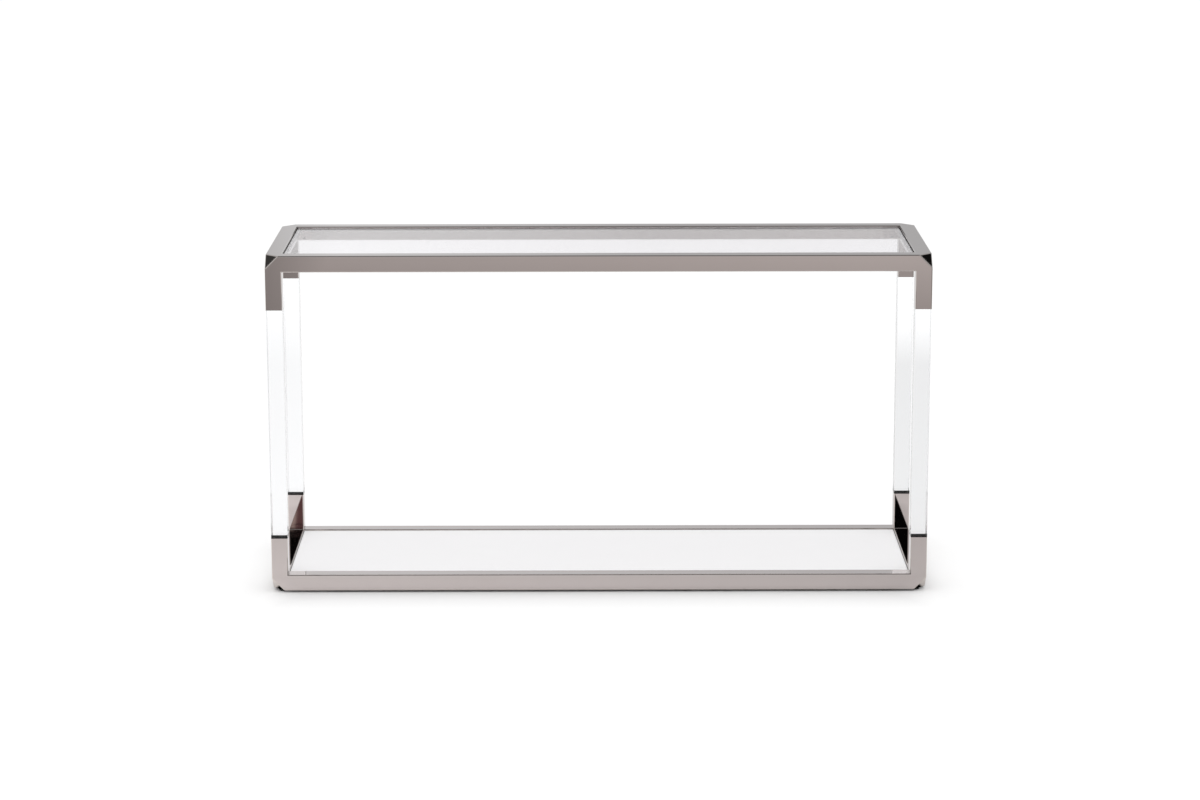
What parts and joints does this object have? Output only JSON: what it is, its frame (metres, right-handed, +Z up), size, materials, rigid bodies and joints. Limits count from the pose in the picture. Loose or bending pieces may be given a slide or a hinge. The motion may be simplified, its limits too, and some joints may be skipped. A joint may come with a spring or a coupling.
{
  "type": "console table",
  "caption": "Long narrow console table: polished square-tube frame with cut corners, clear acrylic legs, an inset glass top and a flush white lower shelf.",
  "frame": {"origin": "on the floor, under the middle of the table", "axes": "+X to the table's right seen from the front, along its width; +Y to the back, along its depth; +Z up"},
  "size_m": [1.524, 0.457, 0.795],
  "materials": {
    "polished_nickel": "nickel plated square steel tube, welded, ground and mirror polished",
    "satin_steel": "plated flat bar, left satin",
    "clear_acrylic": "cast acrylic, machined and flame polished, clear",
    "clear_glass": "clear float glass with polished edges",
    "white_glass": "float glass back-painted white and satin etched on its face, opaque, ground edges",
    "clear_silicone": "clear silicone",
    "black_nylon": "moulded black nylon",
    "screw_steel": "black oxide steel"
  },
  "bodies": {
    "root": {"back_left_bottom_corner_plate": "polished_nickel", "back_left_bottom_sleeve": "polished_nickel", "back_left_glide": "black_nylon", "back_left_post": "clear_acrylic", "back_left_top_corner_plate": "polished_nickel", "back_left_top_sleeve": "polished_nickel", "back_right_bottom_corner_plate": "polished_nickel", "back_right_bottom_sleeve": "polished_nickel", "back_right_glide": "black_nylon", "back_right_post": "clear_acrylic", "back_right_top_corner_plate": "polished_nickel", "back_right_top_sleeve": "polished_nickel", "bottom_back_ledge": "satin_steel", "bottom_back_rail": "polished_nickel", "bottom_front_ledge": "satin_steel", "bottom_front_rail": "polished_nickel", "bottom_left_ledge": "satin_steel", "bottom_left_rail": "polished_nickel", "bottom_right_ledge": "satin_steel", "bottom_right_rail": "polished_nickel", "front_left_bottom_corner_plate": "polished_nickel", "front_left_bottom_sleeve": "polished_nickel", "front_left_glide": "black_nylon", "front_left_post": "clear_acrylic", "front_left_top_corner_plate": "polished_nickel", "front_left_top_sleeve": "polished_nickel", "front_right_bottom_corner_plate": "polished_nickel", "front_right_bottom_sleeve": "polished_nickel", "front_right_glide": "black_nylon", "front_right_post": "clear_acrylic", "front_right_top_corner_plate": "polished_nickel", "front_right_top_sleeve": "polished_nickel", "glass_pads": "clear_silicone", "glass_top": "clear_glass", "lower_shelf": "white_glass", "post_screws": "screw_steel", "shelf_pads": "clear_silicone", "top_back_ledge": "satin_steel", "top_back_rail": "polished_nickel", "top_front_ledge": "satin_steel", "top_front_rail": "polished_nickel", "top_left_ledge": "satin_steel", "top_left_rail": "polished_nickel", "top_right_ledge": "satin_steel", "top_right_rail": "polished_nickel"}
  },
  "joints": []
}
